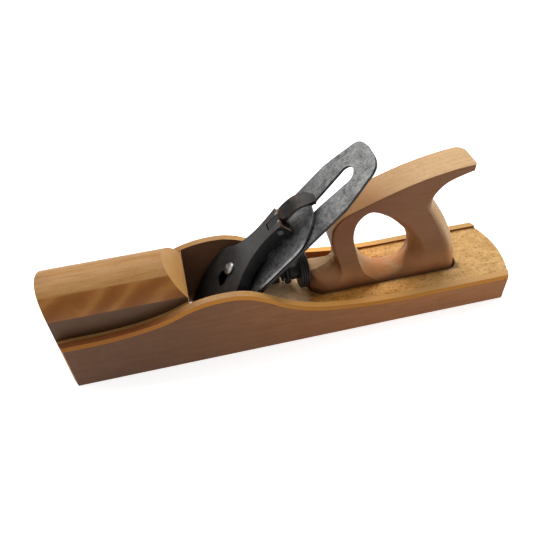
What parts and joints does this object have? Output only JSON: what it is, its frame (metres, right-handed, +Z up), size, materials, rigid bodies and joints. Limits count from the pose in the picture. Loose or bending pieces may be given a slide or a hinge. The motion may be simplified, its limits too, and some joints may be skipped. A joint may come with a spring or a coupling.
{
  "type": "hand plane",
  "caption": "Wooden bench plane with rounded nose block, closed handle, slotted double iron, fishtail lever cap with cam lever and a screw-fed depth wheel.",
  "frame": {"origin": "middle of the plane on its sole", "axes": "+X towards the heel, +Y towards the plane's right side, +Z up from the sole"},
  "size_m": [0.3556, 0.07, 0.1392],
  "materials": {
    "beech": "waxed, worn",
    "iron_steel": "aged grey tool steel",
    "dark_steel": "dark, oiled",
    "blackened_steel": "blackened, satin",
    "lever_steel": "dark with light rust",
    "bright_steel": "worn bright",
    "cast_iron": "black, matt"
  },
  "bodies": {
    "stock": {"body": "beech", "tote": "beech", "frog": "cast_iron", "frog_screw_1": "dark_steel", "frog_screw_2": "dark_steel", "frog_screw_3": "dark_steel", "frog_washer_1": "dark_steel", "frog_washer_2": "dark_steel", "yoke_pin": "dark_steel", "depth_stud": "dark_steel", "lever_cap_screw": "bright_steel"},
    "iron_set": {"iron": "iron_steel", "cap_iron": "dark_steel", "cap_iron_screw": "dark_steel"},
    "cap_set": {"lever_cap": "blackened_steel", "cap_spring": "iron_steel", "cam_pin": "dark_steel"},
    "lever": {"cam_lever": "lever_steel"},
    "fork": {"yoke": "cast_iron"},
    "wheel": {"depth_wheel": "cast_iron"}
  },
  "joints": [
    {"name": "wheel_turn", "type": "hinge", "parent": "stock", "child": "wheel", "pos_m": [0.0104, 0, 0.0403], "axis": [1, 0, 0], "range_deg": [-360, 360]},
    {"name": "iron_feed", "type": "slide", "parent": "stock", "child": "iron_set", "axis": [-0.6947, 0, -0.7193], "range_m": [-0.0013, 0.0013]},
    {"name": "fork_rock", "type": "hinge", "parent": "stock", "child": "fork", "pos_m": [-0.0039, 0, 0.0554], "axis": [0, 1, 0], "range_deg": [-4.3, 4.3]},
    {"name": "cap_slide", "type": "slide", "parent": "stock", "child": "cap_set", "axis": [0.6947, 0, 0.7193], "range_m": [0, 0.0095]},
    {"name": "lever_lift", "type": "hinge", "parent": "cap_set", "child": "lever", "pos_m": [-0.00751, 0, 0.09061], "axis": [0, -1, 0], "range_deg": [0, 100]}
  ],
  "couplings": [
    {"joint": "iron_feed", "follows": "wheel_turn", "m_per_rad": 0.000191},
    {"joint": "fork_rock", "follows": "wheel_turn", "ratio": -0.01158}
  ]
}
